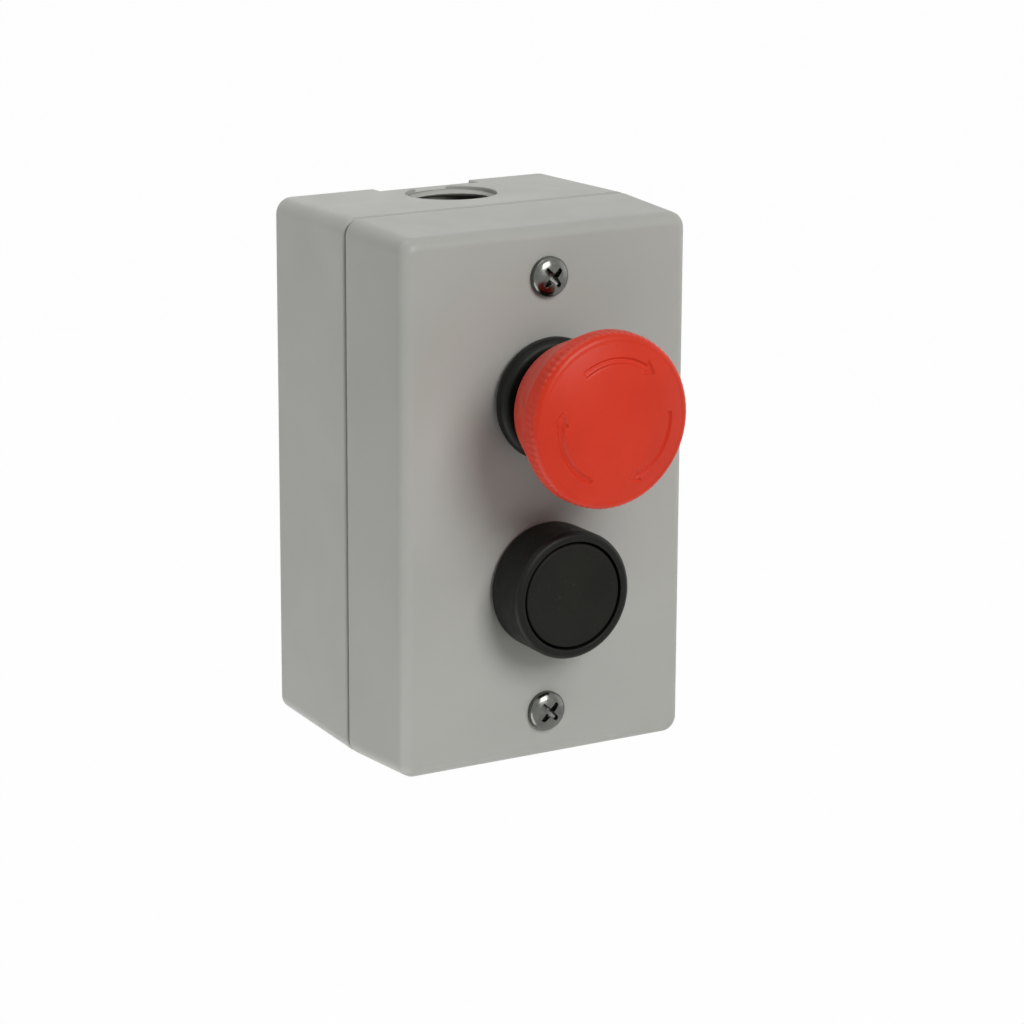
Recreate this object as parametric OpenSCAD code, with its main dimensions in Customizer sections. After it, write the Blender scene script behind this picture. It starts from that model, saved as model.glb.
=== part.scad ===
// Two-button control station: a die-cast box for the wall with a mushroom-head
// stop button that turns to release, and a flush start button below it.
// The back lies on the wall plane Y = 0 and the front faces -Y, with +Z up.
// The origin is the centre of the wall face.

/* [Enclosure] */
// Width over the joint between box and cover
body_w = 76.2; // [72:0.1:96]
// Stop button's axis to the top of the joint
top_space = 40; // [38:0.1:50]
// Stop button to start button
button_pitch = 43.9; // [41:0.1:60]
// Start button's axis to the bottom of the joint
bottom_space = 42.7; // [39:0.1:55]
// Depth of the rear box, from the wall to the joint
rear_depth = 35.8; // [34:0.1:48]
// Depth of the cover, from the joint to its face
cover_depth = 25.8; // [23:0.1:36]
// Wall of both castings
wall_t = 3; // [2.4:0.1:3.6]
// Corner radius, seen from the front
corner_r = 3.8; // [3.4:0.1:8]
// Rounding of the edge round the cover's face
edge_r = 3; // [1:0.1:3.2]
// Draft of the rear box, in degrees
rear_draft = 1.3; // [0:0.1:2.5]
// Draft of the cover, in degrees
cover_draft = 2; // [0:0.1:2.5]
// Thickness of the gasket between box and cover
gasket_t = 0.8; // [0.5:0.1:1.5]
// How far the gasket stays back from the outside
gasket_inset = 0.9; // [0.4:0.1:1.2]

/* [Cover screws and bosses] */
// Diameter of the cover screws
cover_screw_d = 5; // [4:0.5:6]
// Diameter of the cover screws' heads
cover_head_d = 9.3; // [8.6:0.1:11]
// Height of the cover screws' heads
cover_head_h = 2.7; // [2:0.1:3.5]
// Cover screw to the top or bottom of the joint
screw_edge = 12.2; // [11.5:0.1:13]
// Diameter of the screw bosses
boss_d = 11; // [9.5:0.1:12]
// Depth of the lug that takes each cover screw
lug_depth = 9; // [8:0.1:9.4]

/* [Conduit entry and wall fixing] */
// Diameter of the conduit hole in the top
conduit_d = 21.6; // [18:0.1:22.4]
// Conduit hole's edge to the inside of the back wall
conduit_gap = 1.2; // [1.1:0.1:1.6]
// Conduit hole sideways from the centre
conduit_x = 1.3; // [-2:0.1:2]
// Width of the shallow relief between the conduit hole and the wall
relief_w = 26.4; // [24:0.1:30]
// Depth of that relief at the wall plane
relief_depth = 0.75; // [0.3:0.05:1.2]
// Wall left round the conduit hole, under the relief
conduit_wall = 1.4; // [1.2:0.05:1.6]
// Wall fixing hole to the side of the joint
fixing_side = 11.1; // [10:0.1:16]
// Wall fixing hole to the top or bottom of the joint
fixing_end = 14.3; // [12:0.1:20]
// Diameter of the wall fixing holes
fixing_d = 5.3; // [4.3:0.1:6.5]
// Diameter of the earth screw
earth_screw_d = 4; // [3:0.5:5]
// Earth screw to the bottom of the joint
earth_edge = 27.3; // [24:0.1:31]

/* [Buttons] */
// Panel hole of both buttons
panel_hole_d = 22.4; // [22.2:0.1:22.8]
// Neck of both button bodies
neck_d = 21.8; // [21:0.1:22]
// Bore for the plunger in both bodies
bore_d = 16.3; // [15:0.1:17]
// Thickness of the rubber ring under each body
panel_gasket_t = 0.8; // [0.5:0.1:1.2]
// Depth of the ring nuts
nut_t = 4.5; // [3.5:0.1:5]
// Diameter across the flats of the ring nuts
nut_af = 27; // [26:0.1:28]
// Gap between a piece that turns or slides and its bore
run_gap = 0.1; // [0.05:0.01:0.15]

/* [Stop button] */
// Diameter of the mushroom head
head_d = 40; // [36:0.1:44]
// Diameter of the head's back rim
skirt_d = 30; // [28:0.1:32]
// Back rim to the cover's face
skirt_h = 10.7; // [10.6:0.1:12]
// Start of the widest band
band_h = 23.6; // [22.5:0.1:24]
// End of the widest band
rim_h = 26.5; // [26:0.1:28]
// Crown of the head to the cover's face
head_h = 31.2; // [30.6:0.1:33]
// Wall of the head
head_wall = 1.8; // [1.4:0.1:2.2]
// Diameter of the black collar
collar_d = 29.4; // [28:0.1:31]
// Height of the collar above the cover's face
collar_h = 5; // [4.4:0.1:5.2]
// How far the head pushes in
stop_travel = 5; // [3.5:0.1:5]

/* [Start button] */
// Diameter of the guard ring
guard_d = 30; // [28.5:0.1:32]
// Height of the guard ring above the cover's face
guard_h = 12.4; // [12:0.1:14]
// Rounding of the guard ring's front edge
guard_edge = 1.4; // [0.5:0.1:1.6]
// Opening in the guard ring
well_d = 25.3; // [25:0.1:26.4]
// Gap round the cap
cap_gap = 0.5; // [0.3:0.05:0.8]
// Thickness of the cap
cap_t = 5.2; // [4.6:0.1:5.4]
// How far the cap pushes in
start_travel = 4; // [3:0.1:4]

/* [Contact blocks] */
// Width of a contact block
block_w = 14; // [13:0.1:16]
// Height of a contact block
block_h = 36; // [35:0.1:37.6]
// Depth of a contact block
block_d = 24; // [22:0.1:25]
// Wall of a contact block
block_wall = 1.6; // [1.2:0.1:1.8]
// Width of the brass strips
strip_w = 5; // [4:0.1:6]
// Thickness of the brass strips
strip_t = 0.8; // [0.6:0.1:1]
// Diameter of the contact buttons
tip_d = 2.8; // [2.2:0.1:3.4]
// Height of the contact buttons
tip_h = 0.6; // [0.4:0.1:0.8]
// Diameter of the terminal screws' heads
terminal_head_d = 6; // [5:0.1:6.2]

/* [Hidden] */

$fn = 64;
tiny = 0.01;
// How far a cutting body reaches past what it cuts
over = 1;
// Gap between two pieces that don't touch
clear_gap = 0.3;
// Chamfer on moulded pieces
chamfer = 0.5;

// Colours
paint = [0.65, 0.66, 0.63];
stop_red = [0.82, 0.22, 0.15];
black = [0.13, 0.13, 0.12];
rubber = [0.08, 0.08, 0.08];
zinc = [0.8, 0.81, 0.82];
brass = [0.78, 0.62, 0.3];
moulded = [0.85, 0.84, 0.8];

// The castings
body_h = top_space + button_pitch + bottom_space;
face_y = rear_depth + cover_depth;
joint_y = rear_depth - gasket_t / 2;
stop_z = body_h / 2 - top_space;
start_z = bottom_space - body_h / 2;
buttons = [stop_z, start_z];
inner_edge_r = 1;
back_edge_r = 0.6;
inner_corner_r = corner_r - wall_t / 2;

// Cover screws, their bosses and the cross in a pan head
screw_z = body_h / 2 - screw_edge;
screw_core = cover_screw_d + 2 * run_gap;
screw_way = cover_screw_d + 0.5;
screw_tip_space = 1;
cross_w = 0.13;
cross_len = 0.58;
cross_floor = 0.35;
head_edge = 0.45;

// Conduit hole, wall fixing and earth terminal
conduit_back = wall_t + conduit_gap + conduit_d / 2;
relief_floor = body_h / 2 - rear_depth * tan(rear_draft) - relief_depth;
relief_in = 0.7;
relief_len = wall_t + conduit_gap + relief_in;
pad_space = 0.5;
pad_len = joint_y - lug_depth - wall_t - 2 * pad_space;
fixing_x = body_w / 2 - fixing_side;
fixing_z = body_h / 2 - fixing_end;
earth_z = earth_edge - body_h / 2;
earth_boss_wall = 3;
earth_boss_d = earth_screw_d + 2 * earth_boss_wall;
earth_boss_h = 4;
washer_rim = 0.7;
washer_d = 2 * (earth_screw_d + washer_rim);
washer_t = 1;

// Depths behind the cover's face, along the axis of both buttons
nut_end = -wall_t - nut_t;
holder_top = nut_end - clear_gap;
holder_grip = 5;
neck_end = holder_top - holder_grip - 1.2;
neck_floor = 1.6;
spring_len = 10;
tail_d = 8;
spring_wire = 1;
spring_r = (bore_d + tail_d) / 4;
shoulder = neck_end + neck_floor + spring_len;
clip_t = 0.8;
clip_d = 11.6;
clip_seat_d = tail_d - 1.6;
clip_land = 0.7;
tail_end = neck_end - clip_t - clip_land;
stem_d = bore_d - 2 * run_gap;
block_space = 1;
block_front = tail_end - max(stop_travel, start_travel) - block_space;
block_back = block_front - block_d;
holder_rim = 1.5;
holder_d = nut_af + 2 * holder_rim;
holder_screw_d = 3;
holder_screw_len = (holder_d - neck_d) / 2;
holder_screw_h = holder_top - holder_grip / 2 - 0.5;
driver_slot = 0.6;

// The legs of a holder and the tabs that snap into the block's sides
leg_t = 2;
leg_w = 12;
leg_len = 7;
tab_in = 0.7;
tab_w = 8;
tab_h = 1.4;
tab_up = 2;
tab_z = block_front - leg_len + tab_up;

// The collar's foot and the rubber rings
foot_r = 1.4;
gasket_back = 0.8;
collar_gasket_d = collar_d - 2 * (foot_r + 0.1);
guard_gasket_d = guard_d - 2 * gasket_back;

// The stem's shoulder that carries the stop head, and the spigot above it
spigot_in = 3.3;
spigot_base = skirt_h + spigot_in;
spigot_d = 12;
spigot_roof = 3;
spigot_top = rim_h - spigot_roof;
ring_t = 0.8;
ring_seat_d = spigot_d - 1.6;
ring_d = spigot_d + 1;
ring_land = 1.2;
ring_h = spigot_top - ring_land - ring_t;
twist_wire = 0.8;
twist_r = spigot_d / 2 + twist_wire / 2 + 6 * run_gap;
twist_len = 4.4;
twist_top = spigot_base + twist_len;
crown_r = 60;
dome_edge = 1.9;

// The start button's cap and the floor of its well
well_floor = 2.6;
well_lip = 0.3;
cap_top = guard_h - 0.2;
cap_base = cap_top - cap_t;
cap_d = well_d - 2 * cap_gap;
cap_wall = 1.4;
cap_rim = 1.6;
dish_r = 90;

// The moving contacts
rod_d = 4;
flange_d = rod_d + 2;
flange_t = 1.6;
pin_d = 2.8;
pin_len = 3;
bridge_back = 6.1;
bridge_z = block_front - bridge_back;
bridge_t = 1;
bridge_w = 6;
bridge_end = 2;
bridge_space = 0.8;
contact_slack = 0.2;
contact_wire = 0.5;
contact_spring_r = pin_d / 2 + 0.7;

// The terminals at both ends of a block
terminal_len = 6.6;
bridge_reach = block_h / 2 - terminal_len - block_wall - bridge_end - bridge_space;
terminal_screw_d = 3;
terminal_head_h = 2.2;
terminal_shank = 3.5;
strip_back = 0.6;
strip_end = block_h / 2 - strip_back;
pocket_y = block_h / 2 - terminal_len;
pocket_rim = 0.5;
pocket_w = block_w - 2 * block_wall - 2 * pocket_rim;
terminal_y = block_h / 2 - terminal_len / 2;
lid_t = block_wall;

// Puts a piece drawn along +Z, from the cover's face outwards, at the height h
module on_cover(h) {
    translate([0, -face_y, h]) rotate([90, 0, 0]) children();
}

// A block with round corners, drafted inwards along +Z, its far edge rounded
module drafted_block(w, h, depth, draft, r, edge) {
    inset = (depth - edge) * tan(draft);
    hull() {
        for (x = [-1, 1], y = [-1, 1]) {
            translate([x * (w / 2 - r), y * (h / 2 - r), 0]) cylinder(r = r, h = tiny, $fn = 32);
            translate([x * (w / 2 - inset - r), y * (h / 2 - inset - r), depth - edge])
                round_foot(r, edge);
        }
    }
}

// A disc whose upper edge is rounded, the corner of a drafted block
module round_foot(r, edge) {
    rotate_extrude($fn = 32)
        polygon(concat([[0, 0]],
                       [for (a = [0 : 15 : 90]) [r - edge + edge * cos(a), edge * sin(a)]],
                       [[0, edge]]));
}

// A flat outline with round corners
module round_rect(w, h, r) {
    hull() for (x = [-1, 1], y = [-1, 1])
        translate([x * (w / 2 - r), y * (h / 2 - r)]) circle(r = r, $fn = 32);
}

// An open casting, its mouth at Z = 0: a drafted block round a drafted hollow
module casting(depth, draft, far_r) {
    difference() {
        drafted_block(body_w, body_h, depth, draft, corner_r, far_r);
        translate([0, 0, -tiny])
            drafted_block(body_w - 2 * wall_t, body_h - 2 * wall_t, depth - wall_t + tiny, draft,
                          inner_corner_r, inner_edge_r);
    }
}

// The rear casting: five walls, two lugs for the cover screws, an earth boss
module rear_box() {
    color(paint) difference() {
        union() {
            translate([0, -joint_y, 0]) rotate([-90, 0, 0]) casting(joint_y, rear_draft, back_edge_r);
            for (s = [-1, 1]) screw_lug(s);
            translate([0, -wall_t / 2, earth_z]) rotate([90, 0, 0])
                cylinder(d = earth_boss_d, h = wall_t / 2 + earth_boss_h);
        }
        for (s = [-1, 1])
            translate([0, -joint_y - over, s * screw_z]) rotate([-90, 0, 0])
                cylinder(d = screw_core, h = lug_depth + 2 * over);
        for (x = [-1, 1], z = [-1, 1])
            translate([x * fixing_x, over, z * fixing_z]) rotate([90, 0, 0])
                cylinder(d = fixing_d, h = wall_t + 2 * over);
        conduit_cut();
        translate([0, -wall_t / 3, earth_z]) rotate([90, 0, 0])
            cylinder(d = earth_screw_d + 2 * run_gap, h = wall_t + earth_boss_h);
    }
}

// The lug in the box that one cover screw goes into, joined to the end wall
module screw_lug(side) {
    reach = body_h / 2 - screw_z - wall_t / 2;
    translate([0, -joint_y, side * screw_z]) rotate([-90, 0, 0]) {
        cylinder(d = boss_d, h = lug_depth);
        translate([-boss_d / 2, side > 0 ? -reach : 0, 0]) cube([boss_d, reach, lug_depth]);
    }
}

// The conduit hole, the relief between it and the wall, and the flat pad for its nut inside
module conduit_cut() {
    translate([conduit_x, 0, relief_floor]) {
        translate([-relief_w / 2, -relief_len, 0]) cube([relief_w, relief_len + over, wall_t]);
        translate([0, -conduit_back, -2 * wall_t]) cylinder(d = conduit_d, h = 4 * wall_t);
        translate([-relief_w / 2, -wall_t - pad_space - pad_len, -conduit_wall - wall_t])
            cube([relief_w, pad_len, wall_t]);
    }
}

// The front casting: face, skirt and two screw columns
module front_cover() {
    depth = cover_depth - gasket_t / 2;
    color(paint) translate([0, -rear_depth - gasket_t / 2, 0]) rotate([90, 0, 0]) difference() {
        union() {
            casting(depth, cover_draft, edge_r);
            for (s = [-1, 1]) screw_column(s, depth);
        }
        for (s = [-1, 1]) translate([0, s * screw_z, -gasket_t - over])
            cylinder(d = screw_way, h = depth + gasket_t + 2 * over);
        for (z = buttons) translate([0, z, depth - wall_t - over])
            cylinder(d = panel_hole_d, h = wall_t + 2 * over);
    }
}

// The column that a cover screw runs through, which stands on the lug in the box
module screw_column(side, depth) {
    reach = body_h / 2 - screw_z - wall_t / 2 - depth * tan(cover_draft);
    translate([0, side * screw_z, 0]) {
        translate([0, 0, -gasket_t]) cylinder(d = boss_d, h = depth - wall_t / 2 + gasket_t);
        translate([-boss_d / 4, side > 0 ? 0 : -reach, 0]) cube([boss_d / 2, reach, depth - wall_t / 2]);
    }
}

// The flat gasket frame in the joint, cut out round the two screw columns
module cover_gasket() {
    color(rubber) translate([0, -joint_y, 0]) rotate([90, 0, 0])
        linear_extrude(height = gasket_t) difference() {
            round_rect(body_w - 2 * gasket_inset, body_h - 2 * gasket_inset, corner_r - gasket_inset);
            round_rect(body_w - 2 * wall_t, body_h - 2 * wall_t, inner_corner_r);
            for (s = [-1, 1]) translate([0, s * screw_z]) circle(d = boss_d + 2 * clear_gap);
        }
}

// A pan head with a cross recess, its seat at Z = 0 and its shank below
module pan_screw(head_d, head_h, shank_d, shank_len) {
    edge_h = head_h * head_edge;
    slot = head_d * cross_w;
    difference() {
        union() {
            rotate_extrude()
                polygon(concat([[0, 0], [head_d / 2, 0]],
                               [for (a = [0 : 10 : 90])
                                   [head_d / 2 * cos(a), edge_h + (head_h - edge_h) * sin(a)]]));
            translate([0, 0, -shank_len]) cylinder(d = shank_d, h = shank_len + tiny);
        }
        for (a = [45, 135]) rotate([0, 0, a])
            translate([-head_d * cross_len / 2, -slot / 2, head_h * cross_floor])
                cube([head_d * cross_len, slot, head_h]);
    }
}

// The two screws that hold the cover
module cover_screws() {
    shank = cover_depth + lug_depth - screw_tip_space;
    color(zinc) for (s = [-1, 1]) on_cover(s * screw_z)
        pan_screw(cover_head_d, cover_head_h, cover_screw_d, shank);
}

// The earth screw in its boss
module earth_screw() {
    color(brass) translate([0, -wall_t - earth_boss_h - washer_t, earth_z]) rotate([90, 0, 0])
        pan_screw(2 * earth_screw_d, 0.6 * earth_screw_d, earth_screw_d, wall_t / 2 + earth_boss_h);
}

// The washer that traps the earth wire
module earth_washer() {
    color(zinc) translate([0, -wall_t - earth_boss_h, earth_z]) rotate([90, 0, 0]) difference() {
        cylinder(d = washer_d, h = washer_t);
        translate([0, 0, -over]) cylinder(d = earth_screw_d + 2 * run_gap, h = washer_t + 2 * over);
    }
}

// The rubber ring between a button body and the cover
module panel_gasket(h, outer) {
    color(rubber) on_cover(h) difference() {
        cylinder(d = outer, h = panel_gasket_t);
        translate([0, 0, -over]) cylinder(d = panel_hole_d, h = panel_gasket_t + 2 * over);
    }
}

// The neck of a button body behind its flange, bored for the plunger
module button_neck(top) {
    difference() {
        translate([0, 0, neck_end]) cylinder(d = neck_d, h = top - neck_end);
        translate([0, 0, neck_end + neck_floor]) cylinder(d = bore_d, h = top - neck_end);
        translate([0, 0, neck_end - over]) cylinder(d = tail_d + 4 * run_gap, h = neck_floor + 2 * over);
    }
}

// The fixed body of the stop button, whose round collar shows under the head
module stop_collar() {
    r = collar_d / 2;
    foot_z = panel_gasket_t + foot_r;
    color(black) on_cover(stop_z) {
        button_neck(panel_gasket_t);
        difference() {
            rotate_extrude()
                polygon(concat([[0, panel_gasket_t], [r - foot_r, panel_gasket_t]],
                               [for (a = [-90 : 15 : 0])
                                   [r - foot_r + foot_r * cos(a), foot_z + foot_r * sin(a)]],
                               [[r, collar_h - chamfer], [r - chamfer, collar_h], [0, collar_h]]));
            cylinder(d = bore_d, h = collar_h + over);
        }
    }
}

// The fixed body of the start button, whose ring guards the cap
module start_guard() {
    r = guard_d / 2;
    well_r = well_d / 2;
    bore_r = bore_d / 2;
    color(black) on_cover(start_z) {
        button_neck(panel_gasket_t);
        rotate_extrude()
            polygon(concat([[bore_r, panel_gasket_t], [r - chamfer, panel_gasket_t],
                            [r, panel_gasket_t + chamfer]],
                           [for (a = [0 : 15 : 90]) [r - guard_edge + guard_edge * cos(a),
                                                     guard_h - guard_edge + guard_edge * sin(a)]],
                           [[well_r + well_lip, guard_h], [well_r, guard_h - well_lip], [well_r, well_floor],
                            [bore_r, well_floor]]));
    }
}

// The hexagon nuts that hold the button bodies in their panel holes
module locknuts() {
    corner_d = nut_af / cos(30);
    color(black) for (z = buttons) on_cover(z) translate([0, 0, nut_end]) difference() {
        intersection() {
            cylinder(d = corner_d, h = nut_t, $fn = 6);
            cylinder(d1 = nut_af + 2 * chamfer, d2 = nut_af + 2 * chamfer + 2 * nut_t, h = nut_t);
        }
        translate([0, 0, -over]) cylinder(d = neck_d + 2 * run_gap, h = nut_t + 2 * over);
    }
}

// The plunger of a button: a guided body, a shoulder for the spring and a thin tail
module stem(top) {
    translate([0, 0, shoulder]) cylinder(d = stem_d, h = top - shoulder);
    difference() {
        translate([0, 0, tail_end]) cylinder(d = tail_d, h = shoulder - tail_end);
        translate([0, 0, tail_end + clip_land]) groove(tail_d, clip_seat_d, clip_t);
    }
}

// A ring-shaped cutter for a groove in a round of the diameter outer
module groove(outer, inner, width) {
    difference() {
        cylinder(d = outer + over, h = width);
        cylinder(d = inner, h = width);
    }
}

// The stop button's plunger, with a spigot that the head turns on
module stop_stem() {
    color(black) on_cover(stop_z) {
        stem(spigot_base);
        difference() {
            translate([0, 0, spigot_base]) cylinder(d = spigot_d, h = spigot_top - spigot_base);
            translate([0, 0, ring_h]) groove(spigot_d, ring_seat_d, ring_t);
        }
    }
}

// The spring ring that keeps the head on the spigot but lets it turn
module stop_head_ring() {
    color(zinc) on_cover(stop_z) translate([0, 0, ring_h]) open_ring(ring_seat_d, ring_d, ring_t);
}

// A flat spring ring with a gap at one side, so that it can be slipped into its groove
module open_ring(inner, outer, thick) {
    difference() {
        cylinder(d = outer, h = thick);
        translate([0, 0, -over]) cylinder(d = inner + 2 * run_gap, h = thick + 2 * over);
        translate([0, -inner / 4, -over]) cube([outer, inner / 2, thick + 2 * over]);
    }
}

// The coil that turns the head back, in the hub's pocket round the spigot
module stop_twist_spring() {
    color(zinc) on_cover(stop_z) coil(twist_r, twist_wire, spigot_base + tiny, twist_top - tiny, 3.5, 16);
}

// The start button's plunger, whose head sits in the cap
module start_stem() {
    color(black) on_cover(start_z) {
        stem(cap_base);
        translate([0, 0, cap_base]) cylinder(d = cap_d - 2 * cap_wall - 2 * run_gap, h = cap_t / 2 - run_gap);
    }
}

// The spring clip on a stem's tail, open at one side
module stem_clip(h) {
    color(zinc) on_cover(h) translate([0, 0, tail_end + clip_land]) open_ring(clip_seat_d, clip_d, clip_t);
}

// A wire coil along +Z from z0 to z1: the wire's outline carried round the axis in short steps
module coil(mean_r, wire_d, z0, z1, turns, steps) {
    sides = 6;
    n = turns * steps;
    low = z0 + wire_d / 2;
    rise = (z1 - z0 - wire_d) / n;
    rings = [for (i = [0 : n], k = [0 : sides - 1])
        let (a = 360 * i / steps, b = 360 * k / sides, r = mean_r + wire_d / 2 * cos(b))
        [r * cos(a), r * sin(a), low + rise * i + wire_d / 2 * sin(b)]];
    sleeve = [for (i = [0 : n - 1], k = [0 : sides - 1])
        let (m = (k + 1) % sides)
        [(i + 1) * sides + k, (i + 1) * sides + m, i * sides + m, i * sides + k]];
    first = [for (k = [0 : sides - 1]) k];
    last = [for (k = [sides - 1 : -1 : 0]) n * sides + k];
    polyhedron(points = rings, faces = concat(sleeve, [first, last]));
}

// The return spring between the floor of a neck and the stem's shoulder
module button_spring(h) {
    color(zinc) on_cover(h)
        coil(spring_r, spring_wire, neck_end + neck_floor + tiny, shoulder - tiny, 4, 16);
}

// The red mushroom head: a flared skirt, a wide band and a domed face over a hollow
module stop_head() {
    r = head_d / 2;
    back_r = skirt_d / 2;
    dome_r = r - dome_edge;
    edge_h = head_h - (crown_r - sqrt(crown_r * crown_r - dome_r * dome_r));
    roof = spigot_top + run_gap;
    bore_r = spigot_d / 2 + run_gap;
    cavity_top = band_h - 1;
    groove_r = ring_d / 2 + run_gap;
    pocket_r = twist_r + twist_wire / 2 + 2 * run_gap;
    hub_r = pocket_r + head_wall / 2;
    color(stop_red) on_cover(stop_z) rotate_extrude($fn = 96) polygon(concat(
        [[back_r, skirt_h], [r, band_h], [r, rim_h]],
        [for (a = [15 : 15 : 75]) [dome_r + dome_edge * cos(a), rim_h + (edge_h - rim_h) * sin(a)]],
        [for (i = [0 : 6]) let (x = dome_r * (1 - i / 6))
            [x, head_h - crown_r + sqrt(crown_r * crown_r - x * x)]],
        [[0, roof], [bore_r, roof], [bore_r, ring_h + ring_t + run_gap],
         [groove_r, ring_h + ring_t + run_gap], [groove_r, ring_h - run_gap],
         [bore_r, ring_h - run_gap], [bore_r, twist_top],
         [pocket_r, twist_top], [pocket_r, spigot_base + run_gap], [hub_r, spigot_base + run_gap],
         [hub_r, cavity_top], [r - head_wall - 1, cavity_top], [back_r - head_wall / 2, skirt_h]]));
}

// The start button's cap: a shallow cup over the stem's head, its face slightly dished
module start_cap() {
    r = cap_d / 2;
    dish = r - cap_rim;
    color(black) on_cover(start_z) rotate_extrude($fn = 96) polygon(concat(
        [[r, cap_base], [r, cap_top - chamfer]],
        [for (a = [15 : 15 : 90]) [r - chamfer + chamfer * cos(a), cap_top - chamfer + chamfer * sin(a)]],
        [for (i = [0 : 5]) let (x = dish * (1 - i / 5)) [x, cap_top - (dish * dish - x * x) / (2 * dish_r)]],
        [[0, cap_base + cap_t / 2], [r - cap_wall, cap_base + cap_t / 2], [r - cap_wall, cap_base]]));
}

// The adapter that is clamped on a neck and carries the contact block on two legs
module contact_holder(h) {
    color(black) on_cover(h) {
        difference() {
            translate([0, 0, block_front]) cylinder(d = holder_d, h = holder_top - block_front);
            translate([0, 0, neck_end - clear_gap])
                cylinder(d = neck_d + 2 * run_gap, h = holder_top - neck_end + clear_gap + over);
            translate([0, 0, block_front - over])
                cylinder(d = clip_d + 2 * clear_gap, h = holder_top - block_front);
            translate([0, 0, holder_screw_h]) rotate([0, 90, 0])
                cylinder(d = holder_screw_d + 2 * run_gap, h = holder_d);
        }
        for (s = [-1, 1]) {
            translate([s > 0 ? block_w / 2 : -block_w / 2 - leg_t, -leg_w / 2, block_front - leg_len])
                cube([leg_t, leg_w, leg_len + tiny]);
            translate([s * block_w / 2 - tab_in, -tab_w / 2, tab_z]) cube([2 * tab_in, tab_w, tab_h]);
        }
    }
}

// The room for one tab in the side of a contact block
module tab_room(side) {
    translate([side * block_w / 2 - tab_in - run_gap, -tab_w / 2 - run_gap, tab_z - run_gap])
        cube([2 * tab_in + 2 * run_gap, tab_w + 2 * run_gap, tab_h + 2 * run_gap]);
}

// The grub screws that lock the holders on the necks, each with a slot for the driver
module holder_screws() {
    color(zinc) for (z = buttons) on_cover(z)
        translate([neck_d / 2, 0, holder_screw_h]) rotate([0, 90, 0]) difference() {
            cylinder(d = holder_screw_d, h = holder_screw_len);
            translate([-holder_screw_d, -driver_slot / 2, holder_screw_len - 2 * driver_slot])
                cube([2 * holder_screw_d, driver_slot, 2 * driver_slot + over]);
        }
}

// Height of the brass strips' front face: closed when at rest, or open when at rest
function strip_front(closed) = closed
    ? bridge_z + 2 * tip_h + strip_t
    : bridge_z - bridge_t - 2 * tip_h - start_travel - contact_slack;

// The moulded tray of a contact block, open at one side and at both terminals
module contact_housing(h, closed) {
    front = strip_front(closed);
    cavity_y = pocket_y - block_wall;
    color(moulded) on_cover(h) difference() {
        translate([-block_w / 2, -block_h / 2, block_back]) cube([block_w, block_h, block_d]);
        translate([-block_w / 2 + block_wall, -cavity_y, block_back + block_wall])
            cube([block_w, 2 * cavity_y, block_d - 2 * block_wall]);
        translate([block_w / 2 - lid_t, -pocket_y, block_back - over])
            cube([block_w, 2 * pocket_y, block_d + 2 * over]);
        translate([0, 0, block_front - block_wall - over])
            cylinder(d = rod_d + 2 * run_gap, h = block_wall + 2 * over);
        tab_room(-1);
        for (s = [-1, 1]) {
            translate([-strip_w / 2 - run_gap, s > 0 ? cavity_y - over : -block_h / 2 - over,
                       front - strip_t - run_gap])
                cube([strip_w + 2 * run_gap, block_h / 2 - cavity_y + 2 * over, strip_t + 2 * run_gap]);
            translate([-pocket_w / 2, s > 0 ? pocket_y : -block_h / 2 - over, block_back - over])
                cube([pocket_w, terminal_len + over, front - block_back + over]);
            translate([0, s * terminal_y, front - over])
                cylinder(d = terminal_screw_d + 4 * run_gap, h = terminal_shank + over + clear_gap);
        }
    }
}

// The side plate that closes the tray
module contact_lid(h) {
    color(moulded) on_cover(h) difference() {
        translate([block_w / 2 - lid_t, -pocket_y, block_back]) cube([lid_t, 2 * pocket_y, block_d]);
        tab_room(1);
    }
}

// The rod that the stem pushes, with a flange for the bridge and a pin in the spring
module contact_plunger(h) {
    color(stop_red) on_cover(h) translate([0, 0, bridge_z]) {
        cylinder(d = rod_d, h = tail_end - run_gap - bridge_z);
        cylinder(d = flange_d, h = flange_t);
        translate([0, 0, -bridge_t - pin_len]) cylinder(d = pin_d, h = bridge_t + pin_len + tiny);
    }
}

// The bridge that joins the two fixed contacts, with a button at each end
module contact_bridge(h, closed) {
    half = bridge_reach + bridge_end;
    color(brass) on_cover(h) {
        translate([0, 0, bridge_z - bridge_t]) difference() {
            translate([-bridge_w / 2, -half, 0]) cube([bridge_w, 2 * half, bridge_t]);
            translate([0, 0, -over]) cylinder(d = pin_d + 2 * run_gap, h = bridge_t + 2 * over);
        }
        for (s = [-1, 1]) translate([0, s * bridge_reach, closed ? bridge_z : bridge_z - bridge_t - tip_h])
            cylinder(d = tip_d, h = tip_h);
    }
}

// The spring behind the bridge
module contact_spring(h) {
    color(zinc) on_cover(h)
        coil(contact_spring_r, contact_wire, block_back + block_wall + tiny,
             bridge_z - bridge_t - tiny, 7, 12);
}

// The two brass strips, from the fixed contacts to the terminals
module terminals(h, closed) {
    front = strip_front(closed);
    inner_end = bridge_reach - bridge_end;
    color(brass) on_cover(h) for (s = [-1, 1]) {
        difference() {
            translate([-strip_w / 2, s > 0 ? inner_end : -strip_end, front - strip_t])
                cube([strip_w, strip_end - inner_end, strip_t]);
            translate([0, s * terminal_y, front - strip_t - over])
                cylinder(d = terminal_screw_d + 2 * run_gap, h = strip_t + 2 * over);
        }
        translate([0, s * bridge_reach, closed ? front - strip_t - tip_h + run_gap : front])
            cylinder(d = tip_d, h = closed ? tip_h - run_gap : tip_h);
    }
}

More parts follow.
